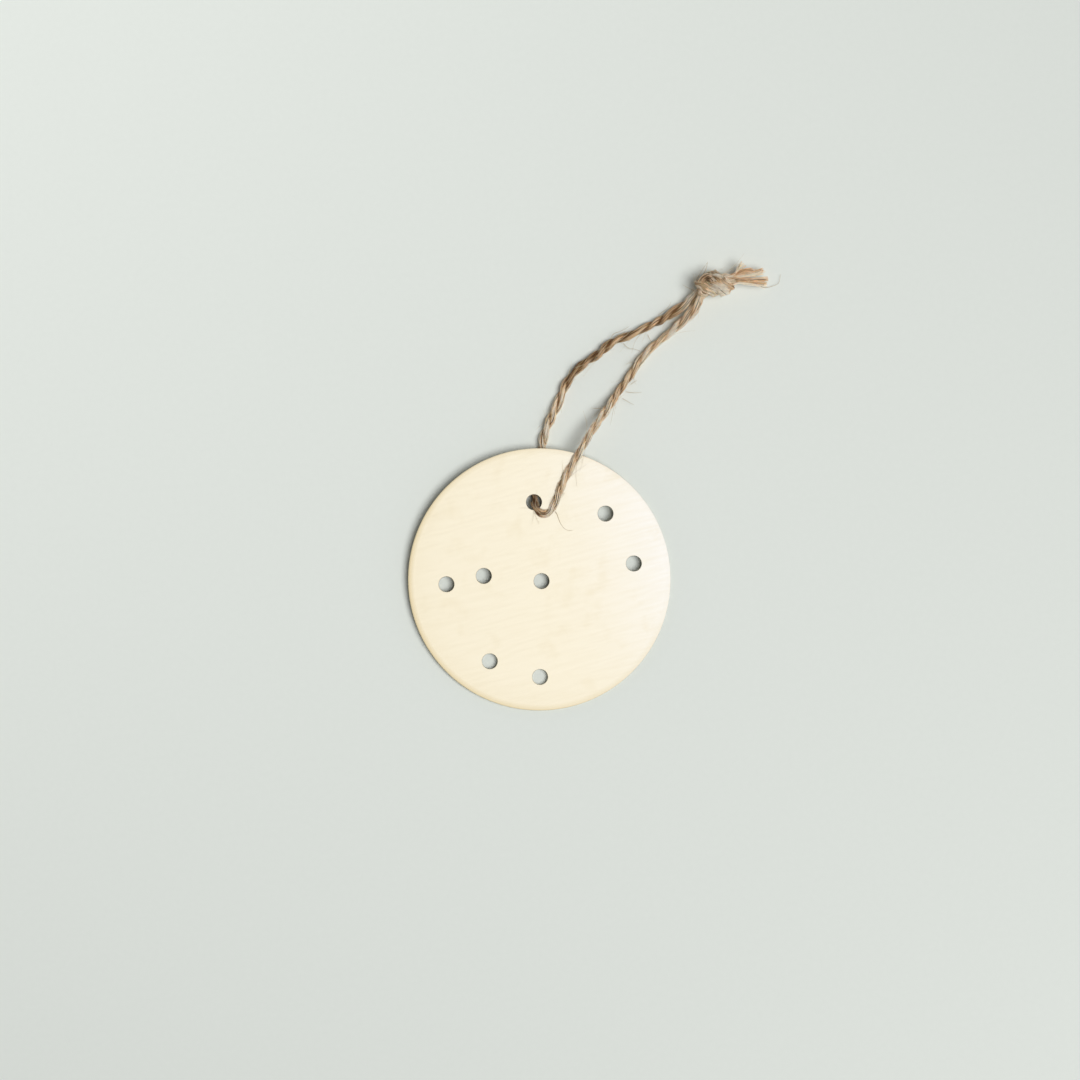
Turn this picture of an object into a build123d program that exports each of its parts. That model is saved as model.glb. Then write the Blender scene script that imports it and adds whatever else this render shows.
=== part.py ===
from build123d import *
import os
from math import asin, atan, cos, pi, radians, sin, sqrt, tan

# Brass disc, cut from a 2 inch blank of 20 gauge sheet
disc_radius = 25.4
disc_thickness = 0.8
rim_bevel = 0.2
hole_radius = 1.5
hole_bevel = 0.1
hang_hole_offset = 15.0

# The seven star holes, as shares of the disc's radius across and up from its centre
star_shares = (
    (0.537, 0.466),
    (0.726, 0.072),
    (0.016, -0.013),
    (-0.420, 0.057),
    (-0.708, 0.013),
    (-0.420, -0.596),
    (-0.046, -0.742),
)

# Two-ply jute twine, and the room between it and the disc that leans on it
twine_diameter = 1.5
twine_sides = 10
rest_gap = 0.15

# A bend of the twine takes this share of the shorter run beside it
bend_share = 0.45

# Overhand knot, tied in both strands together, which squeezes them thinner
strand_diameter = 1.1
strand_gap = 0.1
knot_pitch = 3.6
knot_x = 37.7
knot_y = 54.4
knot_heading = 13
knot_floor_gap = 0.04

# A wrap goes round the core in this many steps, and its corners stand further out than its bends
wrap_steps = 8
wrap_start = 35
corner_share = 1.078

# How a strand runs down the core, turns out at the tails, and comes back in at the loop:
# share of the pitch along the axis, angle round it, share of the step from core to wrap
way_out_shares = (
    (-0.14, -93, 0.01),
    (0.53, -102, 0.07),
    (0.82, -76, 0.43),
    (0.845, -38, 1.02),
    (0.595, -10, 1.18),
)
way_in_shares = (
    (-0.485, 376, 1.13),
    (-0.722, 402, 1.02),
    (-0.739, 434, 0.55),
    (-0.555, 466, 0.14),
    (0.14, 447, 0.01),
)

# The necks outside the knot, as shares of the pitch along and of the row across and up
front_neck_shares = ((-1.17, -1.67, 0.0), (-0.84, -0.707, 0.0))
back_neck_shares = ((-1.17, -0.69, -1.0), (-0.84, 0.0, -0.707))
front_tail_share = (1.11, 0.707, 0.0)
back_tail_share = (1.11, 0.0, 0.707)
neck_lead = 1.5

# The loop from the knot over the disc's rim and face to the hanging hole
front_route = [
    (31.5, 48.2, 2.1),
    (28.7, 45.9, 1.15),
    (25.5, 43.9, 0.8),
    (22.5, 41.2, 0.78),
    (20.5, 38.4, 0.8),
    (18.0, 35.4, 0.95),
    (15.2, 31.7, 2.2),
    (12.2, 28.1, 3.95),
    (9.0, 23.4, 4.0),
    (6.3, 19.3, 3.75),
    (4.75, 16.3, 3.5),
    (3.9, 14.4, 3.38),
    (2.85, 12.65, 3.3),
    (1.15, 12.45, 3.3),
    (0.05, 14.0, 3.25),
]

# The loop from the hole, under the disc and along the table, back to the knot
back_route = [
    (0.2, 15.9, 0.8),
    (0.75, 17.8, 0.76),
    (1.15, 21.0, 0.77),
    (2.15, 24.7, 0.77),
    (2.9, 28.3, 0.8),
    (5.4, 32.6, 0.8),
    (7.0, 36.0, 0.82),
    (8.6, 38.6, 0.8),
    (11.6, 41.3, 0.8),
    (14.3, 42.5, 0.85),
    (17.2, 45.0, 0.82),
    (21.0, 45.9, 0.8),
    (24.3, 47.4, 0.8),
    (27.5, 48.6, 0.8),
    (30.3, 50.3, 0.9),
]

# The frayed ends: each tail falls open into two plies, whose ways start at the middle of its end
ply_diameter = 0.5
ply_sides = 6
ply_seat_share = 0.9
front_ply_routes = [
    [(0.7, 0.27, 0.0), (1.9, 0.45, 0.15), (2.9, 1.15, 0.3)],
    [(0.9, -0.27, 0.0), (2.6, -0.2, -0.15), (4.4, -0.65, -0.4), (6.0, -0.95, -0.9)],
]
back_ply_routes = [
    [(0.8, 0.27, 0.0), (2.3, -0.2, -0.2), (4.3, -1.15, -0.65), (6.2, -1.8, -1.3)],
    [(0.7, -0.27, 0.0), (2.1, -0.95, -0.35), (3.8, -1.8, -1.0), (5.4, -2.45, -1.7)],
]

# The disc lies on its lower rim and leans on the strand that runs under its hole
lean = asin((twine_diameter + rest_gap) / (disc_radius + hang_hole_offset + hole_radius))
disc_plane = Plane(
    origin=(0, 0, disc_radius * sin(lean)),
    x_dir=(1, 0, 0),
    z_dir=(0, -sin(lean), cos(lean)),
)

# The knot's core is four passes in a square, and each strand winds once and a half round it
row = strand_diameter + strand_gap
core_radius = row / sqrt(2)
wrap_radius = core_radius + row
wrap_slant = atan(knot_pitch / (2 * pi * wrap_radius))
beside = row / cos(wrap_slant)
wrap_shift = (beside - knot_pitch / 4) / 2
corner_radius = wrap_radius * corner_share
knot_height = corner_radius + strand_diameter / 2 + knot_floor_gap
knot_plane = Plane(
    origin=(knot_x, knot_y, knot_height),
    x_dir=(cos(radians(knot_heading)), sin(radians(knot_heading)), 0),
    z_dir=(0, 0, 1),
)


def bend_radii(points):
    """The largest arc at each corner that its two runs allow."""
    radii = []
    for before, corner, after in zip(points, points[1:], points[2:]):
        arriving = Vector(corner) - Vector(before)
        leaving = Vector(after) - Vector(corner)
        half_turn = radians(arriving.get_angle(leaving)) / 2
        radii.append(bend_share * min(arriving.length, leaving.length) / tan(half_turn))
    return radii


def round_axis(along, angle, radius):
    """A point beside the knot's axis."""
    return (along, radius * sin(radians(angle)), radius * cos(radians(angle)))


def stepped(shares):
    """Points on the knot's way between core and wrap."""
    points = []
    for along, angle, step in shares:
        points.append(round_axis(along * knot_pitch, angle, core_radius + step * row))
    return points


def half_turned(points):
    """The other strand's way, which is half a turn about a line across the knot."""
    return [(-along, -up, -across) for along, across, up in reversed(points)]


def outside(share):
    """A point outside the knot's body."""
    return (share[0] * knot_pitch, share[1] * row, share[2] * row)


def neck_points(strand):
    """A strand's end towards the loop, and the point that leads straight out of it."""
    end = Vector(strand[0])
    lead = end + (end - Vector(strand[1])).normalized() * neck_lead
    return [tuple(knot_plane.from_local_coords(point)) for point in (end, lead)]


# Front strand: out of the core at the tail end, round it towards the loop, in again and out as a tail
helix = []
for step in range(wrap_steps):
    angle = wrap_start + 360 * step / wrap_steps
    helix.append(round_axis(knot_pitch * (180 - angle) / 360 + wrap_shift, angle, corner_radius))
wound = stepped(way_out_shares) + helix + stepped(way_in_shares)
front_neck = [outside(share) for share in front_neck_shares]
back_neck = [outside(share) for share in back_neck_shares]
front_tail = outside(front_tail_share)
back_tail = outside(back_tail_share)
front_strand = front_neck + wound + [front_tail]
back_strand = back_neck + half_turned(wound) + [back_tail]
loop_route = neck_points(front_strand) + front_route + back_route + neck_points(back_strand)[::-1]

# Where each ply lies from the knot on
ply_seat = ply_seat_share * (strand_diameter - ply_diameter) / 2
plies = []
for tail, routes in ((front_tail, front_ply_routes), (back_tail, back_ply_routes)):
    for seat, route in zip((ply_seat, -ply_seat), routes):
        offsets = [(0, seat, 0)] + route
        plies.append([tuple(Vector(tail) + Vector(offset)) for offset in offsets])


# Brass disc
with BuildPart() as brass_disc:
    with BuildSketch(disc_plane):
        Circle(disc_radius)
        with Locations((0, hang_hole_offset)):
            Circle(hole_radius, mode=Mode.SUBTRACT)
        with Locations([(across * disc_radius, up * disc_radius) for across, up in star_shares]):
            Circle(hole_radius, mode=Mode.SUBTRACT)
    extrude(amount=disc_thickness)
    circles = brass_disc.edges().filter_by(GeomType.CIRCLE).group_by(SortBy.RADIUS)
    front_rim = circles[-1].sort_by(Axis(disc_plane.origin, disc_plane.z_dir))[-1]
    chamfer(circles[0], hole_bevel)
    chamfer(front_rim, rim_bevel)
brass_disc.part.label = "brass_disc"

# Hanging loop: one length of twine from the knot through the disc and back to the knot
with BuildPart() as hanging_loop:
    with BuildLine() as loop_line:
        FilletPolyline(*loop_route, radius=bend_radii(loop_route))
    loop_way = loop_line.wire()
    with BuildSketch(Plane(origin=loop_way @ 0, z_dir=loop_way % 0)) as loop_section:
        RegularPolygon(twine_diameter / 2, twine_sides)
    sweep()
hanging_loop.part.label = "hanging_loop"

# Overhand knot: two unbroken strands side by side
knot_ways = []
with BuildPart() as overhand_knot:
    for strand in (front_strand, back_strand):
        with BuildLine(knot_plane) as strand_line:
            FilletPolyline(*strand, radius=bend_radii(strand))
        way = strand_line.wire()
        with BuildSketch(Plane(origin=way @ 0, z_dir=way % 0)) as strand_section:
            RegularPolygon(strand_diameter / 2, twine_sides)
        sweep(strand_section.sketch, path=way)
        knot_ways.append(way)
overhand_knot.part.label = "overhand_knot"

# Frayed ends: four plies that lie apart
ply_ways = []
with BuildPart() as frayed_ends:
    for ply in plies:
        with BuildLine(knot_plane) as ply_line:
            FilletPolyline(*ply, radius=bend_radii(ply))
        way = ply_line.wire()
        with BuildSketch(Plane(origin=way @ 0, z_dir=way % 0)) as ply_section:
            RegularPolygon(ply_diameter / 2, ply_sides)
        sweep(ply_section.sketch, path=way)
        ply_ways.append(way)
frayed_ends.part.label = "frayed_ends"


def way_points(way, spacing):
    """Points along a way, about this far apart."""
    count = int(way.length / spacing)
    return [way @ (i / count) for i in range(count + 1)]


def least_gap(first, second, thickness, skip):
    """The least room between two tubes, or along one tube past the first skip points."""
    gaps = []
    for index, point in enumerate(first):
        others = second[index + skip :] if first is second else second
        gaps += [(point - other).length - thickness for other in others]
    return min(gaps)


def report_tubes(name, routes, ways, section, solids):
    """The tightest bends of a node's tubes, and their volume beside section times length."""
    radii = sorted(radius for route in routes for radius in bend_radii(route))
    length = sum(way.length for way in ways)
    print(f"{name}: length {length:.1f}, tightest radii", [round(radius, 2) for radius in radii[:6]])
    print(f"  volume {solids.volume:.2f}, section times length {section.area * length:.2f}")


report_tubes("loop", [loop_route], [loop_way], loop_section.sketch, hanging_loop.part)
report_tubes("knot", [front_strand, back_strand], knot_ways, strand_section.sketch, overhand_knot.part)
report_tubes("ends", plies, ply_ways, ply_section.sketch, frayed_ends.part)
spacing = strand_diameter / 6
front_points = way_points(knot_ways[0], spacing)
back_points = way_points(knot_ways[1], spacing)
past_bend = round(2 * strand_diameter / spacing)
own_gap = least_gap(front_points, front_points, strand_diameter, past_bend)
pair_gap = least_gap(front_points, back_points, strand_diameter, past_bend)
print(f"knot: a strand to itself {own_gap:.3f}, strand to strand {pair_gap:.3f}")

os.makedirs("parts", exist_ok=True)
export_step(brass_disc.part, "parts/brass_disc.step")
export_step(hanging_loop.part, "parts/hanging_loop.step")
export_step(overhand_knot.part, "parts/overhand_knot.step")
export_step(frayed_ends.part, "parts/frayed_ends.step")
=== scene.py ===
import math
import random

import bmesh
import bpy
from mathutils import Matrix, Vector, noise


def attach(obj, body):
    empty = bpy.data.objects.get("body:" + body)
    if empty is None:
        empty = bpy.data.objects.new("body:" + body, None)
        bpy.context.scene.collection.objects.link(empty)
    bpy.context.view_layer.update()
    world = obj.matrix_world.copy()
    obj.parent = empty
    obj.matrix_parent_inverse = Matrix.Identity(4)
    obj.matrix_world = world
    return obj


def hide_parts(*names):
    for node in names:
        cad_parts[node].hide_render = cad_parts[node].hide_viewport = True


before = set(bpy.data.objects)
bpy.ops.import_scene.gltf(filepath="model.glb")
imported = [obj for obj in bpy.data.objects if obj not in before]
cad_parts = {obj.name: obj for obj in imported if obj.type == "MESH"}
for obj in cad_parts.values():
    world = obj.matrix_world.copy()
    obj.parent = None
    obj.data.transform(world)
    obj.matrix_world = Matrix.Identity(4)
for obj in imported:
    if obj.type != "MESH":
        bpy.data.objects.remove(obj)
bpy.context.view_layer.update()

bpy.context.scene.view_settings.view_transform = "Standard"
print("frame loaded with", ", ".join(sorted(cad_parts)))


# Camera, straight above the table as in the photograph

photoView = {
    "place": (0.00065, 0.00759, 0.7),
    "turn": -3.97,  # degrees about the upright axis
    "sensor": 36,
    "lens": 120.35,
    "clipStart": 0.01,
}


def placeCamera():
    camera = bpy.data.objects.new("photoCamera", bpy.data.cameras.new("photoCamera"))
    bpy.context.collection.objects.link(camera)
    camera.location = photoView["place"]
    camera.rotation_euler = (0, 0, math.radians(photoView["turn"]))
    camera.data.sensor_width = photoView["sensor"]
    camera.data.lens = photoView["lens"]
    camera.data.clip_start = photoView["clipStart"]
    bpy.context.scene.camera = camera
    print("camera placed")


placeCamera()


# Small helpers for working as by hand

def pick(obj):
    bpy.ops.object.select_all(action="DESELECT")
    obj.select_set(True)
    bpy.context.view_layer.objects.active = obj


def chooseFaces(obj, wanted):
    # in edit mode, selects the faces whose normal passes the test
    bpy.ops.mesh.select_mode(type="FACE")
    bpy.ops.mesh.select_all(action="DESELECT")
    mesh = bmesh.from_edit_mesh(obj.data)
    for face in mesh.faces:
        face.select_set(wanted(face.normal))
    mesh.select_flush(True)
    bmesh.update_edit_mesh(obj.data)


def dress(obj, material):
    obj.data.materials.clear()
    obj.data.materials.append(material)


# Small helpers for materials: an input is given a value, or the output of another node

def feed(tree, node, inputs):
    for name, value in inputs.items():
        if isinstance(value, bpy.types.NodeSocket):
            tree.links.new(value, node.inputs[name])
        else:
            node.inputs[name].default_value = value


def addNode(tree, kind, inputs, **settings):
    node = tree.nodes.new(kind)
    for name, value in settings.items():
        setattr(node, name, value)
    feed(tree, node, inputs)
    return node


def newMaterial(name):
    material = bpy.data.materials.new(name)
    material.use_nodes = True
    tree = material.node_tree
    place = addNode(tree, "ShaderNodeTexCoord", {}).outputs["Object"]
    return material, tree, tree.nodes["Principled BSDF"], place


def mapped(tree, value, fromMin, fromMax, toMin=0, toMax=1, clamp=True):
    inputs = {"Value": value, "From Min": fromMin, "From Max": fromMax, "To Min": toMin, "To Max": toMax}
    return addNode(tree, "ShaderNodeMapRange", inputs, clamp=clamp).outputs["Result"]


def joined(tree, operation, first, second, clamp=True):
    node = addNode(tree, "ShaderNodeMath", {0: first, 1: second}, operation=operation, use_clamp=clamp)
    return node.outputs["Value"]


def vectorMath(tree, operation, inputs, result="Vector"):
    return addNode(tree, "ShaderNodeVectorMath", inputs, operation=operation).outputs[result]


def speckled(tree, place, scale, detail):
    inputs = {"Vector": place, "Scale": scale, "Detail": detail}
    return addNode(tree, "ShaderNodeTexNoise", inputs).outputs["Fac"]


def blended(tree, share, first, second):
    inputs = {"Factor": share, "A": first, "B": second}
    return addNode(tree, "ShaderNodeMix", inputs, data_type="RGBA").outputs["Result"]


def bumped(tree, height, strength, distance):
    inputs = {"Height": height, "Strength": strength, "Distance": distance}
    return addNode(tree, "ShaderNodeBump", inputs).outputs["Normal"]


# Routes of the twine, in metres: the same points as the solid model's tube

loopRoute = {
    "front": [
        (0.0315, 0.0482, 0.0021), (0.0287, 0.0459, 0.00115), (0.0255, 0.0439, 0.0008),
        (0.0225, 0.0412, 0.00078), (0.0205, 0.0384, 0.0008), (0.018, 0.0354, 0.00095),
        (0.0152, 0.0317, 0.0022), (0.0122, 0.0281, 0.00395), (0.009, 0.0234, 0.004),
        (0.0063, 0.0193, 0.00375), (0.00475, 0.0163, 0.0035), (0.0039, 0.0144, 0.00338),
        (0.00285, 0.01265, 0.0033), (0.00115, 0.01245, 0.0033), (0.00005, 0.014, 0.00325),
    ],
    "back": [
        (0.0002, 0.0159, 0.0008), (0.00075, 0.0178, 0.00076), (0.00115, 0.021, 0.00077),
        (0.00215, 0.0247, 0.00077), (0.0029, 0.0283, 0.0008), (0.0054, 0.0326, 0.0008),
        (0.007, 0.036, 0.00082), (0.0086, 0.0386, 0.0008), (0.0116, 0.0413, 0.0008),
        (0.0143, 0.0425, 0.00085), (0.0172, 0.045, 0.00082), (0.021, 0.0459, 0.0008),
        (0.0243, 0.0474, 0.0008), (0.0275, 0.0486, 0.0008), (0.0303, 0.0503, 0.0009),
    ],
}

knot = {
    "middle": (0.0377, 0.0544),
    "heading": 13,  # degrees
    "strand": 0.0011,  # the twine's diameter where the knot squeezes it
    "gap": 0.0001,
    "pitch": 0.0036,
    "floorGap": 0.00004,
    "steps": 8,
    "start": 35,  # degrees
    "cornerShare": 1.078,
    "neckLead": 0.0015,
    # each point: share of the pitch along the knot, degrees round it, rows out from the core
    "wayOutShares": ((-0.14, -93, 0.01), (0.53, -102, 0.07), (0.82, -76, 0.43), (0.845, -38, 1.02),
                     (0.595, -10, 1.18)),
    "wayInShares": ((-0.485, 376, 1.13), (-0.722, 402, 1.02), (-0.739, 434, 0.55), (-0.555, 466, 0.14),
                    (0.14, 447, 0.01)),
    # each point: share of the pitch along the knot, rows across and rows up
    "neckShares": {"front": ((-1.17, -1.67, 0), (-0.84, -0.707, 0)),
                   "back": ((-1.17, -0.69, -1), (-0.84, 0, -0.707))},
    "tailShares": {"front": (1.11, 0.707, 0), "back": (1.11, 0, 0.707)},
}
knotRow = knot["strand"] + knot["gap"]
knotCore = knotRow / math.sqrt(2)
knotWrap = knotCore + knotRow
knotCorner = knotWrap * knot["cornerShare"]
knotHeight = knotCorner + knot["strand"] / 2 + knot["floorGap"]
knotHeading = math.radians(knot["heading"])
knotAxis = Vector((math.cos(knotHeading), math.sin(knotHeading), 0))
knotAside = Vector((-knotAxis.y, knotAxis.x, 0))


def knotPlace(along, across, up):
    return Vector((
        knot["middle"][0] + along * math.cos(knotHeading) - across * math.sin(knotHeading),
        knot["middle"][1] + along * math.sin(knotHeading) + across * math.cos(knotHeading),
        knotHeight + up,
    ))


def roundCore(along, degrees, radius):
    turn = math.radians(degrees)
    return along, radius * math.sin(turn), radius * math.cos(turn)


def inRows(shares):
    along, across, up = shares
    return along * knot["pitch"], across * knotRow, up * knotRow


def onCore(shares):
    return [roundCore(along * knot["pitch"], degrees, knotCore + rows * knotRow)
            for along, degrees, rows in shares]


def knotRoutes():
    # each strand winds round the four passes of the middle, and the back strand is the front one turned over
    pitch = knot["pitch"]
    slant = math.atan(pitch / (2 * math.pi * knotWrap))
    wrapShift = (knotRow / math.cos(slant) - pitch / 4) / 2
    wound = onCore(knot["wayOutShares"])
    for step in range(knot["steps"]):
        turn = knot["start"] + 360 * step / knot["steps"]
        wound.append(roundCore(pitch * (180 - turn) / 360 + wrapShift, turn, knotCorner))
    wound += onCore(knot["wayInShares"])
    strands = {"front": wound, "back": [(-u, -w, -v) for u, v, w in reversed(wound)]}
    routes = {}
    for name, middle in strands.items():
        necks = [inRows(shares) for shares in knot["neckShares"][name]]
        routes[name] = [knotPlace(*place) for place in necks + middle + [inRows(knot["tailShares"][name])]]
    return routes


def smoothLine(points, resolution=16):
    # the points steer a NURBS curve, and the line is read back from it
    curve = bpy.data.curves.new("route", "CURVE")
    curve.dimensions = "3D"
    spline = curve.splines.new("NURBS")
    spline.points.add(len(points) - 1)
    for point, place in zip(spline.points, points):
        point.co = (*place, 1)
    spline.order_u = 3
    spline.use_endpoint_u = True
    spline.resolution_u = resolution
    carrier = bpy.data.objects.new("route", curve)
    bpy.context.collection.objects.link(carrier)
    line = bpy.data.meshes.new_from_object(carrier)
    places = [vertex.co.copy() for vertex in line.vertices]
    bpy.data.objects.remove(carrier)
    bpy.data.curves.remove(curve)
    bpy.data.meshes.remove(line)
    return places


def lineLength(places):
    return sum((b - a).length for a, b in zip(places, places[1:]))


def evenPlaces(places, spacing):
    # the same line with its points a steady distance apart
    rounding = 1e-12
    whole = lineLength(places)
    count = max(2, round(whole / spacing))
    even = [places[0].copy()]
    walked = 0
    for a, b in zip(places, places[1:]):
        run = (b - a).length
        while len(even) <= count and walked + run >= len(even) * whole / count - rounding:
            share = (len(even) * whole / count - walked) / run if run else 0
            even.append(a.lerp(b, min(1, share)))
        walked += run
    return even


knotStrandRoutes = knotRoutes()
loopEnds = []
for name in ("front", "back"):
    face, inner = knotStrandRoutes[name][:2]
    away = (face - inner).normalized()
    loopEnds.append((face, face + away * knot["neckLead"]))
loopPoints = [Vector(place) for place in loopRoute["front"] + loopRoute["back"]]
loopLine = smoothLine([*loopEnds[0], *loopPoints, *reversed(loopEnds[1])])
knotLines = {name: smoothLine(route) for name, route in knotStrandRoutes.items()}
print(f"loop {lineLength(loopLine) * 1000:.1f} mm, knot "
      f"{sum(lineLength(line) for line in knotLines.values()) * 1000:.1f} mm")


# Small helpers for shapes and tones

def held(value):
    return min(1, max(0, value))


def eased(share):
    share = held(share)
    return share * share * (3 - 2 * share)


def ramp(value, start, over):
    # 0 up to the start, and 1 after it has gone on over that much more
    return eased((value - start) / over)


def between(past, start, rise, end, fall):
    # 0 outside start and end, and 1 inside them: rise and fall say how quickly it changes
    return eased((past - start) * rise) * eased((end - past) * fall)


def wave(seed, distance, amount, size):
    # smooth noise up to the amount each way, about one swing in each size: each seed reads its own row of it
    row, layer, height = 7.31, 3.17, 1.6
    return amount * (noise.noise(Vector((distance / size, seed * row, seed * layer))) * height)


def twistFrames(places):
    # a frame that doesn't turn about the line: (place, ahead, side, other side) at each place
    frames = []
    side = None
    for index, place in enumerate(places):
        ahead = (places[min(index + 1, len(places) - 1)] - places[max(index - 1, 0)]).normalized()
        if side is None:
            side = ahead.cross(Vector((0, 0, 1))).normalized()
        side = (side - ahead * side.dot(ahead)).normalized()
        frames.append((place, ahead, side, ahead.cross(side)))
    return frames


def outAndRound(side, other, turn):
    # the way out from the middle of a tube at a turn, and the way round it there
    return side * math.cos(turn) + other * math.sin(turn), other * math.cos(turn) - side * math.sin(turn)


def ringRound(middle, side, other, halfWidth, halfHeight, sides, lowest=0.00001):
    ring = []
    for number in range(sides):
        angle = 2 * math.pi * number / sides
        spot = middle + side * (halfWidth * math.cos(angle)) + other * (halfHeight * math.sin(angle))
        spot.z = max(spot.z, lowest)  # it lies on the table, not in it
        ring.append(spot)
    return ring


class MeshPile:
    # vertices, faces and tones that many small tubes are added to
    def __init__(self):
        self.vertices = []
        self.faces = []
        self.tones = []

    def addTube(self, rings, tones):
        sides = len(rings[0])
        first = len(self.vertices)
        for ring, tone in zip(rings, tones):
            self.vertices.extend(ring)
            self.tones.extend([tone] * sides)
        for row in range(len(rings) - 1):
            base = first + row * sides
            for side in range(sides):
                after = (side + 1) % sides
                self.faces.append((base + side, base + after, base + sides + after, base + sides + side))
        last = first + (len(rings) - 1) * sides
        self.faces.append(tuple(first + side for side in reversed(range(sides))))
        self.faces.append(tuple(last + side for side in range(sides)))

    def makeObject(self, name, material):
        mesh = bpy.data.meshes.new(name)
        mesh.from_pydata(self.vertices, [], self.faces)
        mesh.shade_smooth()
        tone = mesh.attributes.new("tone", "FLOAT", "POINT")
        tone.data.foreach_set("value", self.tones)
        mesh.update()
        obj = bpy.data.objects.new(name, mesh)
        bpy.context.collection.objects.link(obj)
        dress(obj, material)
        print(f"{name}: {sum(len(face) - 2 for face in self.faces)} triangles")
        return obj


# How the knot was pulled into shape

knotForm = {
    "wrapFrom": (0.55, 0.35),  # where the outer wraps begin, out from the axis, and over how much more
    "wrapTo": (1.15, -0.25),  # and where they end, along it
    "widen": 0.42,  # the wraps are pressed flat
    "thin": 0.2,
    "press": 0.00015,  # how far they sink in
    "draw": 0.07,  # how much the knot is drawn together
    "shift": 0.0002,  # towards the loop
    "belly": 0.1,  # wider in the middle than the solid
    "narrow": 0.2,  # and narrower at its ends
    "shoulder": 0.3,  # and drawn in below where the loop goes in
    "shoulderLow": (0.1, 0.7),
    "shoulderIn": (0.2, 0.45),
    "slant": 0.1,
    "rumple": 0.00026,  # how far its wraps wander
    "rumpleScale": 450,
    "rumpleSeed": 1,
    "tailShift": -0.00045,  # the tails leave it lower down its end
    "tailFrom": (0.0024, 0.0014),
    "pushes": (  # place along and across from the knot's middle, reach, and push along and across
        ((0.0030, -0.0008), 0.0012, (-0.0004, -0.0001)),
        ((-0.0022, 0.0004), 0.0010, (-0.0002, -0.0001)),
        ((0.0017, 0.0020), 0.0012, (-0.0004, 0.0)),
        ((0.0004, 0.0021), 0.0010, (0.0, 0.0003)),
        ((-0.0014, -0.0020), 0.0011, (0.0002, 0.0006)),
        ((0.0008, -0.0022), 0.0012, (0.0001, 0.0003)),
    ),
    "upper": 0.3,  # how far below its middle the upper side's painted shade and highlight begin
    "paintedShading": (  # place, reach and change of tone: painted shade in the crevices and towards the loop's end, painted highlight on the bands that catch the light
        ((-0.00105, 0.0014), 0.00055, -0.8),
        ((-0.0008, 0.0009), 0.0007, -0.4),
        ((-0.0001, 0.0008), 0.0005, -0.25),
        ((0.0017, 0.0012), 0.0005, -0.1),
        ((-0.0026, -0.0004), 0.0011, -0.6),
        ((0.0001, -0.0014), 0.0004, -0.2),
        ((0.0004, 0.0024), 0.0009, 0.3),
        ((0.0021, -0.0002), 0.0007, 0.3),
        ((0.0012, -0.0011), 0.0008, 0.55),
        ((0.0030, -0.0009), 0.0004, 0.35),
    ),
}


def closeness(along, across, spot, reach):
    return math.exp(-((along - spot[0]) ** 2 + (across - spot[1]) ** 2) / reach ** 2)


def tailShift(along):
    # how far across the knot's axis a tail is moved
    return knotForm["tailShift"] * ramp(along, *knotForm["tailFrom"])


def wrapShare(place, ahead):
    # how much a place belongs to the outer wraps of the knot, the way out from its axis, and the shaped place
    off = place - knotPlace(0, 0, 0)
    along = off.dot(knotAxis)
    if along > knotWrap:
        place = place + knotAside * tailShift(along)
    off -= knotAxis * along
    ratio = along / knot["pitch"]
    share = ramp(off.length / knotWrap, *knotForm["wrapFrom"]) * ramp(abs(ratio), *knotForm["wrapTo"])
    out = (off - ahead * off.dot(ahead)).normalized()
    across = off.dot(knotAside)
    low = ramp(-across / knotWrap, *knotForm["shoulderLow"]) * ramp(-ratio, *knotForm["shoulderIn"])
    swell = knotForm["belly"] - knotForm["narrow"] * ratio * ratio - knotForm["shoulder"] * low
    inward = knotAxis * (along * knotForm["draw"] + across * knotForm["slant"] + knotForm["shift"])
    move = off * swell - inward - out * knotForm["press"]
    move += noise.noise_vector(place * knotForm["rumpleScale"]) * knotForm["rumple"]
    for spot, reach, push in knotForm["pushes"]:
        move += (knotAxis * push[0] + knotAside * push[1]) * closeness(along, across, spot, reach)
    return share, out, place + move * share


def pressed(station, offset):
    # the wraps of the knot lie flat, wide and squared on what is under them
    wrap = station["wrap"]
    up = offset.dot(station["out"])
    beside = offset - station["out"] * up
    flat = station["out"] * (up * (1 - knotForm["thin"] * wrap)) + beside * (1 + knotForm["widen"] * wrap)
    if not offset.length:
        return flat
    squared = ((up / offset.length) ** 4 + (beside.length / offset.length) ** 4) ** -0.25
    return flat * (1 + (squared - 1) * wrap)


def paintedKnotShading(place):
    # painted shade and highlight on the knot's upper side
    off = place - knotPlace(0, 0, 0)
    along, across = off.dot(knotAxis), off.dot(knotAside)
    upper = eased(off.z / knotWrap + knotForm["upper"])
    return upper * sum(change * closeness(along, across, spot, reach)
                       for spot, reach, change in knotForm["paintedShading"])


# Twine: two plies of jute, each a half of the round, laid in fibres over a core coloured near black: painted
# shade that shows in the gaps between the fibres

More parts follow.
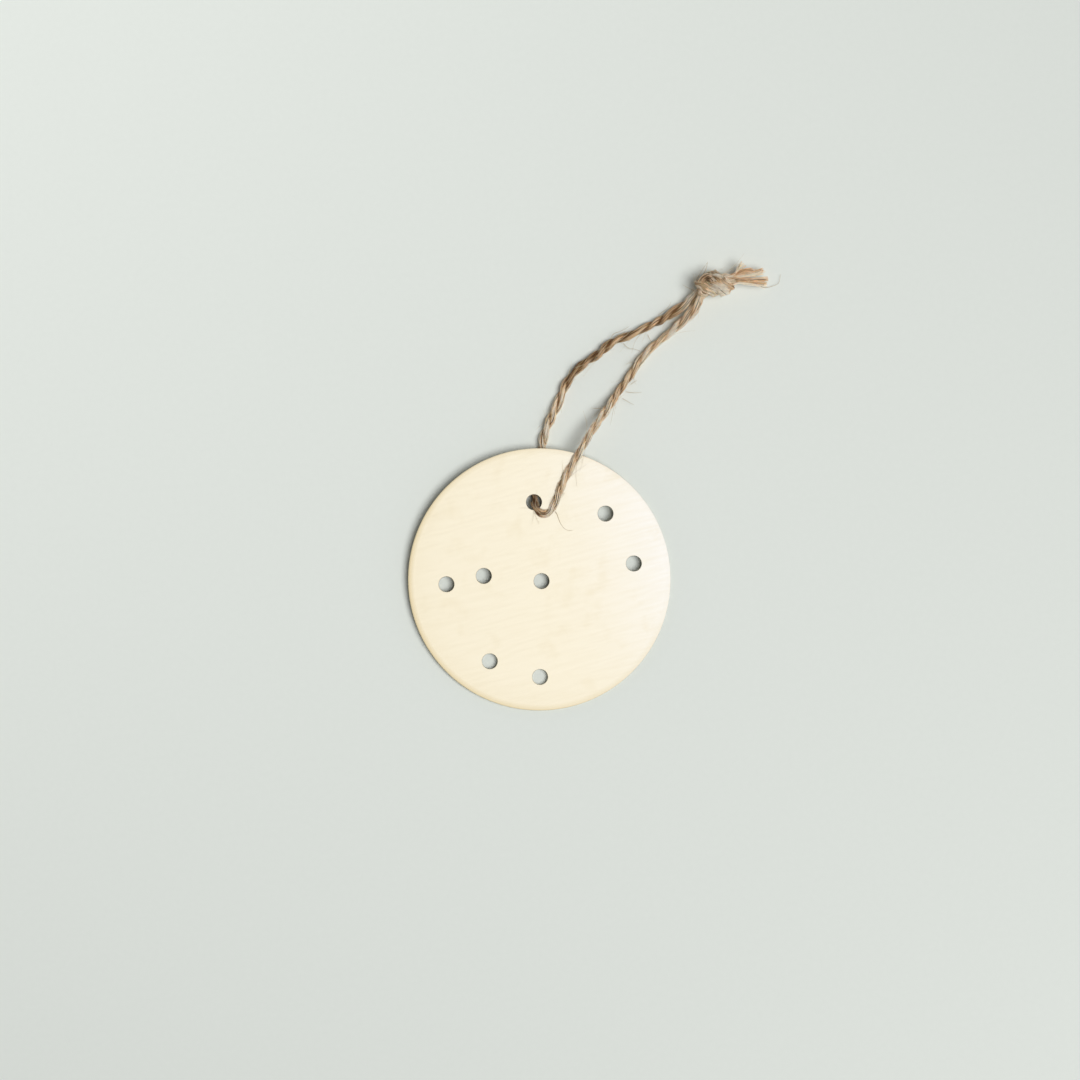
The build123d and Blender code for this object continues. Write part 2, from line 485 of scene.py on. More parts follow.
twine = {
    "diameter": 0.0015,
    "knotDiameter": 0.00142,  # fills the knot
    "taper": 0.003,  # length over which the neck narrows
    "taperLead": 0.4,  # the share of it that lies inside the knot
    # front and back strand: one turn of the two plies, in the left-handed way of the photograph
    "pitch": (0.0066, 0.0076),
    "groove": (0.27, 0.35),  # how deep the plies part, as a share of the radius
    "lobe": (0.04, 0.1),  # how far each ply stands out
    "backFrom": (0.5, 0.2),  # share of the loop where the back strand begins, and over how much more
    "knotPitch": 0.022,
    "knotGroove": 0.12,
    "turnGroove": 0.15,
    "outerArc": math.radians(130),  # the part of a ply's round that lies on the outside
    # how much, and over what length
    "unevenness": (0.09, 0.006),
    "backLumps": (0.06, 0.0025),  # and the back strand has short lumps too
    "wander": (0.5, 0.01),  # how unevenly it is twisted
    "backWander": (0.9, 0.005),
    # stretches of the loop: start, how quickly it comes, end, how quickly it goes
    "turnStretch": (0.455, 25, 0.575, 25),  # the turn in the hanging hole
    "rimStretch": (0.56, 20, 0.75, 14),
    # where painted shadow darkens the back strand
    "backShadowStretch": (0.68, 12, 1.0, 18),
    "pinkStretch": (0.56, 12, 0.7, 12),
    "rimSwell": 0.16,  # thicker where the back strand leaves the rim
    "neckSwell": 0.32,  # and next to the knot
    "neckLength": 0.009,
    "neckMove": (0.0004, -0.0002, 0),  # the front strand goes into the knot a little to the right
    "neckMoveReach": (0.006, 0.003),  # along the loop, and into the knot
    "tailTaper": 0.0014,
    "tailNarrow": 0.25,
    "coreShare": 0.66,
    "coreSides": 8,
    # painted shade: the core's near-black tone stands for the shade in the gaps between the fibres
    "paintedCoreShade": 0.02,
    "lightTone": 0.29,
    # painted shadow on the back strand past the rim
    "paintedBackShadow": 0.65,
    "pinkTone": 0.08,
    # painted shade on the turn in the hanging hole
    "paintedTurnShade": 0.6,
    "loopStep": 0.0004,
    "knotStep": 0.00028,
    "waveSeeds": (10, 90),
    "seed": 11,
}

fibres = {
    "thick": {"width": (0.00005, 0.0001), "proud": (-0.05, 0.02), "roam": 0.45, "tone": (0.37, 0.74),
              "sides": 4},
    "fine": {"width": (0.000025, 0.00005), "proud": (0.0, 0.06), "roam": 1.3, "tone": (0.2, 0.86),
             "sides": 3},
    "sets": (  # number in each ply, kind, and whether the loop has them too
        (30, "thick", True),
        (7, "thick", False),
        (8, "fine", True),
    ),
    "knotShare": 0.78,  # they are thinner in the knot
    "height": 0.38,  # as a share of the width
    "sink": 0.6,
    "stagger": 0.35,
    # how much, and over what length
    "roamLength": 0.011,
    "proudWave": (0.03, 0.004),
    "widthWave": (0.3, 0.004),
    "toneWave": (0.3, 0.005),
    "plyWave": (1, 0.006),
    "plyTone": 0.3,
    "plyWrapTone": 0.4,
    # painted shade in the grooves between the plies, deeper in the turn of the hanging hole
    "paintedGrooveShade": 1.6,
    "paintedTurnGrooveShade": 1.2,
}


def isFront(past):
    # the front strand is the first half of the loop
    return past < 0.5


def turnShare(past):
    # how much a place belongs to the turn in the hanging hole
    return between(past, *twine["turnStretch"])


def twineRadius(distance, whole, inside, past, loose, back):
    radius = (twine["knotDiameter"] + (twine["diameter"] - twine["knotDiameter"]) * loose) / 2
    radius *= 1 + wave(1, distance, *twine["unevenness"])
    radius *= 1 + back * wave(2, distance, *twine["backLumps"])
    radius *= 1 + twine["rimSwell"] * between(past, *twine["rimStretch"])
    radius *= 1 + twine["neckSwell"] * loose * eased(1 - inside / twine["neckLength"])
    toCut = min(distance, whole - distance) / twine["tailTaper"]
    return radius * (1 - twine["tailNarrow"] + twine["tailNarrow"] * eased(toCut))


def wholeTwine():
    # the twine is one line, from one tail through the knot and loop to the other tail
    stretches = [
        ("knot", evenPlaces(list(reversed(knotLines["front"])), twine["knotStep"])),
        ("loop", evenPlaces(loopLine, twine["loopStep"])),
        ("knot", evenPlaces(knotLines["back"], twine["knotStep"])),
    ]
    places = []
    spans = []
    for kind, stretch in stretches:
        start = max(0, len(places) - 1)
        places += stretch if not places else stretch[1:]
        spans.append((kind, start, len(places) - 1))
    distances = [0]
    for a, b in zip(places, places[1:]):
        distances.append(distances[-1] + (b - a).length)
    loopStart = distances[spans[1][1]]
    loopEnd = distances[spans[1][2]]
    alongLoop, intoKnot = twine["neckMoveReach"]
    stations = []
    turn = 0
    walked = 0
    for (place, ahead, side, other), distance in zip(twistFrames(places), distances):
        inside = min(distance - loopStart, loopEnd - distance)
        past = (distance - loopStart) / (loopEnd - loopStart)
        loose = eased(inside / twine["taper"] + twine["taperLead"])
        back = ramp(past, *twine["backFrom"])
        pitch, groove, lobe = (front + (rear - front) * back
                               for front, rear in (twine["pitch"], twine["groove"], twine["lobe"]))
        turn -= 2 * math.pi * (loose / pitch + (1 - loose) / twine["knotPitch"]) * (distance - walked)
        walked = distance
        wander = wave(4, distance, *twine["wander"]) + back * wave(6, distance, *twine["backWander"])
        groove = twine["knotGroove"] + (groove - twine["knotGroove"]) * loose
        wrap, out, place = wrapShare(place, ahead)
        if isFront(past):
            near = eased(1 - inside / alongLoop) * eased(1 + inside / intoKnot)
            place = place + Vector(twine["neckMove"]) * near
        stations.append({
            "place": place, "ahead": ahead, "side": side, "other": other, "distance": distance, "past": past,
            "radius": twineRadius(distance, distances[-1], inside, past, loose, back),
            "wrap": wrap, "out": out, "turn": turn + wander, "loose": loose,
            "groove": groove + twine["turnGroove"] * turnShare(past),
            "lobe": lobe * loose,
        })
    return stations, spans


noise.seed_set(knotForm["rumpleSeed"])  # noise_vector would start from the clock without it
twineStations, twineSpans = wholeTwine()


def plySpot(station, turn):
    # a ply fills half of the round: angle off its own way out, and share of the twine's radius
    turn = (turn + math.pi) % (2 * math.pi) - math.pi
    arc = twine["outerArc"]
    if abs(turn) <= arc:
        angle = turn / arc * math.pi / 2
        share = 1 - station["groove"] * abs(math.sin(angle)) ** 4
        return angle, share * (1 + station["lobe"] * math.cos(2 * angle))
    share = (math.pi - abs(turn)) / (math.pi - arc)
    return math.copysign(math.pi / 2, turn), (1 - station["groove"]) * (1 - station["lobe"]) * share


def stretchTone(past):
    # painted shadow darkens the back strand past the rim, and painted shade darkens the turn in the hanging
    # hole
    dark = twine["paintedBackShadow"] * between(past, *twine["backShadowStretch"])
    pink = twine["pinkTone"] * between(past, *twine["pinkStretch"])
    return twine["lightTone"] - dark - twine["paintedTurnShade"] * turnShare(past) + pink


def layCore(piles):
    for kind, first, last in twineSpans:
        rings = []
        for station in twineStations[first:last + 1]:
            reach = station["radius"] * twine["coreShare"]
            rings.append(ringRound(station["place"], station["side"], station["other"], reach, reach,
                                   twine["coreSides"]))
        # the core carries the painted shade between the fibres
        piles[kind].addTube(rings, [twine["paintedCoreShade"]] * len(rings))


def fibreTone(station, ply, groove):
    # what a fibre's tone gets from its place on the twine, including painted shade in the grooves between the
    # plies
    plyShade = fibres["plyTone"] + fibres["plyWrapTone"] * station["wrap"]
    grooveShade = fibres["paintedGrooveShade"] + fibres["paintedTurnGrooveShade"] * turnShare(station["past"])
    return (plyShade * wave(50 + ply, station["distance"], *fibres["plyWave"])
            + stretchTone(station["past"]) - grooveShade * groove)


def layFibre(piles, luck, ply, number, count, form, inLoop):
    seed = luck.uniform(*twine["waveSeeds"])
    start = 2 * math.pi * (number + luck.uniform(-fibres["stagger"], fibres["stagger"])) / count
    halfWidth = luck.uniform(*form["width"])
    proud = luck.uniform(*form["proud"])
    baseTone = luck.uniform(*form["tone"])
    for stretch, first, last in twineSpans:
        if stretch == "loop" and not inLoop:
            continue
        rings = []
        tones = []
        for station in twineStations[first:last + 1]:
            distance = station["distance"]
            away = start - station["turn"] + wave(seed, distance, form["roam"], fibres["roamLength"])
            angle, share = plySpot(station, away)
            groove = abs(math.sin(angle)) ** 5 * station["groove"]
            angle += station["turn"] + math.pi * ply
            share += proud + wave(seed + 1, distance, *fibres["proudWave"])
            reach = max(0, station["radius"] * share - halfWidth * fibres["sink"])
            out, beside = outAndRound(station["side"], station["other"], angle)
            middle = station["place"] + pressed(station, out * reach)
            width = halfWidth * (1 + wave(seed + 3, distance, *fibres["widthWave"]))
            width *= station["loose"] + (1 - station["loose"]) * fibres["knotShare"]
            rings.append(ringRound(middle, beside, out, width, width * fibres["height"], form["sides"]))
            tone = baseTone + wave(seed + 2, distance, *fibres["toneWave"]) + fibreTone(station, ply, groove)
            # the knot's painted shade and highlight
            if stretch == "knot":
                tone += paintedKnotShading(middle) * station["wrap"]
            tones.append(held(tone))
        piles[stretch].addTube(rings, tones)


# Where a wrap of the knot crosses over the others it spreads into a flat band

bands = {
    "routes": (  # half width, fibres, tone, and points along, across and up from the knot's middle
        (0.0008, 46, -0.12, (
            (0.0004, 0.0016, 0.0014), (-0.0005, 0.00195, 0.002), (-0.0016, 0.0018, 0.00225),
            (-0.0025, 0.00125, 0.00215), (-0.00285, 0.0004, 0.00165), (-0.00275, -0.0005, 0.00145),
            (-0.0022, -0.00125, 0.0012), (-0.0015, -0.00145, 0.0005))),
        (0.00055, 28, 0.05, (
            (-0.0004, 0.0017, 0.0011), (0.0004, 0.00175, 0.00205), (0.0013, 0.001, 0.0025),
            (0.0022, 0.00005, 0.00235), (0.0028, -0.0008, 0.0017), (0.0026, -0.0012, 0.0007))),
        (0.00056, 30, 0.35, (
            (-0.0012, 0.001, 0.0016), (-0.0004, 0.0003, 0.00275), (0.0007, -0.00075, 0.0028),
            (0.0017, -0.0015, 0.00225), (0.0023, -0.00195, 0.0012), (0.0021, -0.0017, 0.0002))),
    ),
    "width": (0.00003, 0.00006),
    "height": 0.5,  # as a share of the width
    "sides": 3,
    "gather": 0.45,  # how much narrower a band is at its ends
    "crown": 0.00022,
    "sunk": -1.2,  # every third fibre has this share of the crown
    "lean": 0.6,
    # how much, and over what share
    "wander": (0.22, 0.5),
    "ripple": (0.00006, 0.35),
    "tone": (0.33, 0.79),
    "streakTone": (0.75, 0.35),
    "driftTone": (0.25, 0.4),
    # painted shade at a band's edges and where its ends tuck under the others
    "paintedEdgeShade": 0.4,
    "paintedEndShade": 0.6,
    "endRate": 6,
    "waveSeeds": (200, 300),
}


def bandTube(frames, halfWidth, offset, thick, depth, baseTone, bandSeed, seed):
    rings = []
    tones = []
    for index, (place, ahead, side, other) in enumerate(frames):
        share = index / (len(frames) - 1)
        off = place - knotPlace(0, 0, 0)
        beside = ahead.cross(off - knotAxis * (bands["lean"] * off.dot(knotAxis))).normalized()
        above = beside.cross(ahead)
        gathered = 1 - bands["gather"] * abs(2 * share - 1) ** 3
        shift = offset + wave(seed + 1, share, *bands["wander"])
        crown = depth * (1 - min(1, shift * shift)) + wave(bandSeed, offset, *bands["ripple"])
        middle = place + beside * (shift * gathered * halfWidth) + above * crown
        rings.append(ringRound(middle, beside, above, thick, thick * bands["height"], bands["sides"]))
        # painted shade at the band's edges and tucked ends, with the knot's painted shade and highlight
        tone = baseTone + wave(seed + 2, share, *bands["driftTone"]) - bands["paintedEdgeShade"] * abs(offset) ** 3
        atEnd = 1 - eased(share * bands["endRate"]) * eased((1 - share) * bands["endRate"])
        tones.append(held(tone + paintedKnotShading(middle) - bands["paintedEndShade"] * atEnd))
    return rings, tones


def layBands(pile, luck):
    for halfWidth, count, bandTone, route in bands["routes"]:
        line = smoothLine([knotPlace(*place) for place in route])
        frames = twistFrames(evenPlaces(line, twine["knotStep"]))
        bandSeed = luck.uniform(*twine["waveSeeds"])
        for number in range(count):
            seed = luck.uniform(*bands["waveSeeds"])
            offset = 2 * (number + luck.random()) / count - 1
            thick = luck.uniform(*bands["width"])
            depth = bands["crown"] * (1 if number % 3 else bands["sunk"])
            baseTone = luck.uniform(*bands["tone"]) + wave(bandSeed, offset, *bands["streakTone"]) + bandTone
            pile.addTube(*bandTube(frames, halfWidth, offset, thick, depth, baseTone, bandSeed, seed))


juteFinish = {
    "colours": {  # dark, middle and light
        "juteFibre": ((0.15, 0.07, 0.024, 1), (0.93, 0.60, 0.345, 1), (1.0, 0.865, 0.675, 1)),
        "juteHair": ((0.28, 0.19, 0.07, 1), (0.52, 0.38, 0.17, 1), (0.86, 0.74, 0.50, 1)),
    },
    "fleck": (1400, 3),  # scale and detail
    "mottle": (0.78, 1.2),
    "bump": (0.4, 0.00003),  # strength and height
    "shader": {
        "Roughness": 0.62, "Specular IOR Level": 0.25, "Sheen Weight": 0.1, "Sheen Roughness": 0.4,
        "Subsurface Weight": 0.35, "Subsurface Radius": (1, 0.65, 0.4), "Subsurface Scale": 0.00015,
    },
}


def juteMaterial(name):
    material, tree, shader, place = newMaterial(name)
    tone = addNode(tree, "ShaderNodeAttribute", {}, attribute_name="tone").outputs["Fac"]
    colours = addNode(tree, "ShaderNodeValToRGB", {"Fac": tone})
    colours.color_ramp.elements.new(0.5)
    for stop, colour in zip(colours.color_ramp.elements, juteFinish["colours"][name]):
        stop.color = colour
    fleck = speckled(tree, place, *juteFinish["fleck"])
    mottle = mapped(tree, fleck, 0, 1, *juteFinish["mottle"])
    feed(tree, shader, {
        "Base Color": vectorMath(tree, "SCALE", {0: colours.outputs["Color"], "Scale": mottle}),
        "Normal": bumped(tree, fleck, *juteFinish["bump"]),
        **juteFinish["shader"],
    })
    return material


def layTwine(material):
    piles = {"loop": MeshPile(), "knot": MeshPile()}
    luck = random.Random(twine["seed"])
    layCore(piles)
    for ply in (0, 1):
        for count, kind, inLoop in fibres["sets"]:
            for number in range(count):
                layFibre(piles, luck, ply, number, count, fibres[kind], inLoop)
    layBands(piles["knot"], luck)
    return piles["loop"].makeObject("twineLoop", material), piles["knot"].makeObject("twineKnot", material)


jute = juteMaterial("juteFibre")
twineLoop, twineKnot = layTwine(jute)
print("twine laid")


# Cut ends: each ply falls open into a brush of fibres

ends = {
    "seat": 0.00027,  # how far a ply starts off the tail's middle
    "start": 0.0014,  # and before its end
    "brushes": (  # strand, side, fibres, tone, radius at the knot, halfway and at the cut, route off the tail
        ("front", 1, 36, 0.4, (0.0002, 0.00028, 0.00058),
         ((0.0008, 0.0008, 0), (0.0016, 0.0014, 0.0001), (0.00255, 0.00195, 0.0001))),
        ("front", 1, 50, 0.12, (0.00042, 0.00042, 0.00027),
         ((0.0008, 0.0004, 0), (0.00245, 0.0005, 0), (0.0039, 0.00005, -0.0002))),
        ("front", -1, 78, 0.24, (0.00044, 0.00048, 0.00044),
         ((0.0009, -0.0001, 0), (0.0022, -0.00025, -0.00015), (0.0044, -0.0005, -0.0004),
          (0.0059, -0.00035, -0.0009))),
        ("back", 1, 74, 0.05, (0.00044, 0.00046, 0.00038),
         ((0.0008, -0.0001, 0), (0.0019, -0.00055, -0.0002), (0.0041, -0.00095, -0.00065),
          (0.0062, -0.0015, -0.0013))),
        ("back", -1, 74, 0.32, (0.00042, 0.00046, 0.00038),
         ((0.0007, -0.0003, 0), (0.0018, -0.0009, -0.00035), (0.0038, -0.0016, -0.001),
          (0.0056, -0.0023, -0.0017))),
    ),
    "width": (0.00002, 0.00006),
    "sides": 4,
    "shorter": 0.25,  # how much shorter single fibres can be
    "stray": 0.0007,  # how far they can leave their brush
    # how much, and over what length
    "wander": (0.8, 0.004),
    "tone": (0.35, 0.7),
    "clumpTone": (0.5, 1.3),
    "driftTone": (0.25, 0.003),
    # painted shade where the brush comes out of the knot
    "paintedRootShade": 0.3,
    "rootRate": 3.5,
    "step": 0.0003,
    "waveSeeds": (100, 200),
    "seed": 5,
}


def brushFrames(strand, way, offsets):
    tail = Vector(inRows(knot["tailShares"][strand]))
    tail.y += tailShift(tail.x)
    seat = Vector((0, way * ends["seat"], 0))
    points = [knotPlace(*(tail + seat - Vector((ends["start"], 0, 0)))), knotPlace(*(tail + seat))]
    points += [knotPlace(*(tail + Vector(offset))) for offset in offsets]
    return twistFrames(evenPlaces(smoothLine(points), ends["step"]))


def fanEnds():
    pile = MeshPile()
    for order, (strand, way, count, brushTone, radii, offsets) in enumerate(ends["brushes"]):
        luck = random.Random(ends["seed"] + order)
        frames = brushFrames(strand, way, offsets)
        brushSeed = luck.uniform(*twine["waveSeeds"])
        for number in range(count):
            seed = luck.uniform(*ends["waveSeeds"])
            angle = luck.uniform(0, 2 * math.pi)
            depth = math.sqrt(luck.random())
            halfWidth = luck.uniform(*ends["width"])
            last = max(3, round((len(frames) - 1) * (1 - ends["shorter"] * luck.random() ** 2)))
            stray = ends["stray"] * luck.random() ** 5
            baseTone = luck.uniform(*ends["tone"]) + wave(brushSeed, angle, *ends["clumpTone"]) + brushTone
            rings = []
            tones = []
            for index, (place, ahead, side, other) in enumerate(frames[:last + 1]):
                distance = index * ends["step"]
                share = index / (len(frames) - 1)
                early, late = min(1, share * 2), max(0, share * 2 - 1)
                reach = depth * (radii[0] + (radii[1] - radii[0]) * early + (radii[2] - radii[1]) * late)
                reach += stray * share ** 3
                turn = angle + wave(seed, distance, *ends["wander"])
                middle = place + side * (reach * math.cos(turn)) + other * (reach * math.sin(turn))
                middle.z = max(middle.z, halfWidth)
                rings.append(ringRound(middle, side, other, halfWidth, halfWidth, ends["sides"]))
                # painted shade where the brush comes out of the knot
                root = ends["paintedRootShade"] * eased(1 - share * ends["rootRate"])
                tones.append(held(baseTone - root + wave(seed + 1, distance, *ends["driftTone"])))
            pile.addTube(rings, tones)
    return pile.makeObject("frayedBrush", jute)


frayedBrush = fanEnds()


# Brass disc: rolled-over rim, eight holes with a soft lip

disc = {
    "diameter": 0.0508,
    "thickness": 0.0008,
    "sides": 256,
    "rimSteps": (  # inset and rise
        (0.00002, 0.00006), (0.00004, 0.00004), (0.00008, 0.00003), (0.0002, 0.00002), (0.0004, 0.00001)),
    "backSteps": ((0.00003, 0.00004), (0.00004, 0.00002)),
    "flat": 0.9,  # least upright part of a flat face's normal
    "hole": 0.003,
    "holeSides": 64,
    "lip": 0.00005,
    "lipSteps": 3,
    "hangingHole": (0, 0.015),
    "starShares": ((0.537, 0.466), (0.726, 0.072), (0.016, -0.013), (-0.420, 0.057), (-0.708, 0.013),
                   (-0.420, -0.596), (-0.046, -0.742)),
    "rise": 0.00165,  # the twine lifts it by this much
    "riseRun": 0.0419,  # at this distance from its lower rim
    "overrun": 0.001,
    "weld": 0.0000001,
    "smoothAngle": 40,
}
discRadius = disc["diameter"] / 2
discLean = math.asin(disc["rise"] / disc["riseRun"])


def discBlank():
    # a disc whose rim is stepped in and up like a stamped edge
    top = sum(rise for inset, rise in disc["rimSteps"])
    bottom = sum(rise for inset, rise in disc["backSteps"])
    depth = disc["thickness"] - top - bottom
    bpy.ops.object.select_all(action="DESELECT")
    bpy.ops.mesh.primitive_cylinder_add(vertices=disc["sides"], radius=discRadius, depth=depth,
                                        location=(0, 0, bottom + depth / 2))
    blank = bpy.context.active_object
    blank.name = "brassSheet"
    bpy.ops.object.transform_apply(location=True, rotation=True, scale=True)
    bpy.ops.object.mode_set(mode="EDIT")
    for way, steps in ((1, disc["rimSteps"]), (-1, disc["backSteps"])):
        chooseFaces(blank, lambda normal: normal.z * way > disc["flat"])
        for inset, rise in steps:
            bpy.ops.mesh.inset(thickness=inset, depth=rise)
    bpy.ops.object.mode_set(mode="OBJECT")
    return blank


def holeCutter():
    # a straight punch whose both ends flare out into the lip
    lip = disc["lip"]
    depth = disc["thickness"] - 2 * lip
    bpy.ops.object.select_all(action="DESELECT")
    bpy.ops.mesh.primitive_cylinder_add(vertices=disc["holeSides"], radius=disc["hole"] / 2, depth=depth)
    cutter = bpy.context.active_object
    bpy.ops.object.mode_set(mode="EDIT")
    for way in (1, -1):
        chooseFaces(cutter, lambda normal: normal.z * way > disc["flat"])
        high, wide = 0, disc["hole"] / 2
        for step in range(1, disc["lipSteps"] + 1):
            turn = math.radians(90 * step / disc["lipSteps"])
            nextHigh = lip * math.sin(turn)
            nextWide = disc["hole"] / 2 + lip * (1 - math.cos(turn))
            bpy.ops.mesh.extrude_region_move(
                TRANSFORM_OT_translate={"value": (0, 0, way * (nextHigh - high))})
            bpy.ops.transform.resize(value=(nextWide / wide, nextWide / wide, 1), center_override=(0, 0, 0))
            high, wide = nextHigh, nextWide
        bpy.ops.mesh.extrude_region_move(TRANSFORM_OT_translate={"value": (0, 0, way * disc["overrun"])})
    bpy.ops.object.mode_set(mode="OBJECT")
    return cutter


def punchHoles(blank):
    # one cutter goes from hole to hole
    cutter = holeCutter()
    places = [disc["hangingHole"]] + [(x * discRadius, y * discRadius) for x, y in disc["starShares"]]
    for x, y in places:
        cutter.location = (x, y, disc["thickness"] / 2)
        pick(blank)
        cut = blank.modifiers.new("hole", "BOOLEAN")
        cut.operation = "DIFFERENCE"
        cut.solver = "MANIFOLD"
        cut.object = cutter
        bpy.ops.object.modifier_apply(modifier=cut.name)
    bpy.data.objects.remove(cutter)
    # a lip ends just on the sheet's face, where the cut leaves two rings of points in one place
    pick(blank)
    bpy.ops.object.mode_set(mode="EDIT")
    bpy.ops.mesh.select_all(action="SELECT")
    bpy.ops.mesh.remove_doubles(threshold=disc["weld"])
    bpy.ops.object.mode_set(mode="OBJECT")


def finishDisc(blank):
    pick(blank)
    bpy.ops.object.shade_smooth_by_angle(angle=math.radians(disc["smoothAngle"]))
    even = blank.modifiers.new("flatFace", "WEIGHTED_NORMAL")
    even.keep_sharp = True
    bpy.ops.object.modifier_apply(modifier=even.name)
    blank.rotation_euler = (discLean, 0, 0)
    blank.location = (0, 0, discRadius * math.sin(discLean))
    bpy.ops.object.transform_apply(location=True, rotation=True, scale=True)
    print("brass disc shaped:", len(blank.data.polygons), "faces")


brassFinish = {
    "pale": (0.972, 0.895, 0.715, 1),
    # colour of the painted highlight on the side towards the lamp
    "paintedHighlight": (1.0, 0.975, 0.93, 1),
    # gold of the brass's own streaks and blotches, and of the painted shade away from the lamp
    "goldenAndShade": (0.89, 0.79, 0.575, 1),
    # colour of the painted shade on the rim
    "rimShadeGold": (0.80, 0.665, 0.41, 1),
    "lightWay": (0.97, 0.22, 0),  # painted highlight: near-white on this side, and painted shade turns it gold on the other
    "paintedHighlightFrom": -0.1,  # shares of the radius, here and below
    "brushTurn": 11,  # degrees
    "coarse": (9, 1500, 4),  # how drawn out the streaks are, scale and detail
    "fine": (20, 7000, 2),
    "blotch": (260, 5),
    # from which value of the pattern to which, and how much gold it brings there
    "coarseGold": (0.4, 0.75, 0, 0.2),
    "fineGold": (0.4, 0.8, 0, 0.1),
    "blotchGold": (0.54, 0.8, 0, 0.42),
    # painted shade: gold on the side away from the lamp
    "paintedSideShade": 0.27,
    # painted shade: gold on the outer ring, away from the lamp
    "paintedOuterShade": 0.25,
    "outerFrom": 0.8,
    "edgeFrom": 0.955,
    "paintedRimShade": (0.05, 1.05),  # painted shade on the rim: how much on the light side and on the other
    "gloss": (0.3, 0.7, 0.2, 0.24),  # the roughness follows the coarse streaks
    "bump": (0.3, 0.000006),
}


def brushed(tree, place, drawnOut, scale, detail):
    # noise drawn out along the way the sheet was brushed
    inputs = {"Vector": place, "Rotation": (0, 0, math.radians(brassFinish["brushTurn"])),
              "Scale": (drawnOut, 1, 1)}
    turned = addNode(tree, "ShaderNodeMapping", inputs, vector_type="TEXTURE").outputs["Vector"]
    return speckled(tree, turned, scale, detail)


def brassMaterial():
    material, tree, shader, place = newMaterial("brushedBrass")
    coarse = brushed(tree, place, *brassFinish["coarse"])
    fine = brushed(tree, place, *brassFinish["fine"])
    blotch = speckled(tree, place, *brassFinish["blotch"])
    flat = vectorMath(tree, "MULTIPLY", {0: place, 1: (1, 1, 0)})
    far = vectorMath(tree, "LENGTH", {0: flat}, "Value")
    towards = vectorMath(tree, "DOT_PRODUCT", {0: place, 1: brassFinish["lightWay"]}, "Value")
    outer = brassFinish["outerFrom"] * discRadius

    # painted shade on the side away from the lamp, then the brass's own gold streaks and blotches
    goldAndShade = mapped(tree, towards, 0, -discRadius, 0, brassFinish["paintedSideShade"])
    goldAndShade = joined(tree, "ADD", goldAndShade, mapped(tree, coarse, *brassFinish["coarseGold"]))
    goldAndShade = joined(tree, "ADD", goldAndShade, mapped(tree, fine, *brassFinish["fineGold"]))
    goldAndShade = joined(tree, "ADD", goldAndShade, mapped(tree, blotch, *brassFinish["blotchGold"]))
    # painted shade on the outer ring away from the lamp
    outerShade = mapped(tree, far, outer, discRadius, 0, brassFinish["paintedOuterShade"])
    goldAndShade = joined(tree, "ADD", goldAndShade, joined(tree, "MULTIPLY", outerShade, mapped(tree, towards, outer, 0)))
    # painted highlight, near-white towards the lamp
    paintedHighlight = mapped(tree, towards, brassFinish["paintedHighlightFrom"] * discRadius, discRadius)
    paintedHighlight = joined(tree, "MULTIPLY", paintedHighlight, paintedHighlight)
    # painted shade on the rim, mostly on the side away from the lamp
    rimShade = mapped(tree, far, brassFinish["edgeFrom"] * discRadius, discRadius)
    rimShade = joined(tree, "MULTIPLY", rimShade,
                  mapped(tree, towards, discRadius, -discRadius, *brassFinish["paintedRimShade"]))

    face = blended(tree, paintedHighlight, brassFinish["pale"], brassFinish["paintedHighlight"])
    face = blended(tree, goldAndShade, face, brassFinish["goldenAndShade"])
    feed(tree, shader, {
        "Base Color": blended(tree, rimShade, face, brassFinish["rimShadeGold"]),
        "Roughness": mapped(tree, coarse, *brassFinish["gloss"]),
        "Normal": bumped(tree, fine, *brassFinish["bump"]),
        "Metallic": 1,
    })
    return material


brassSheet = discBlank()
punchHoles(brassSheet)
finishDisc(brassSheet)
dress(brassSheet, brassMaterial())


# Loose hairs, the ones that show in the photograph and small ones all along

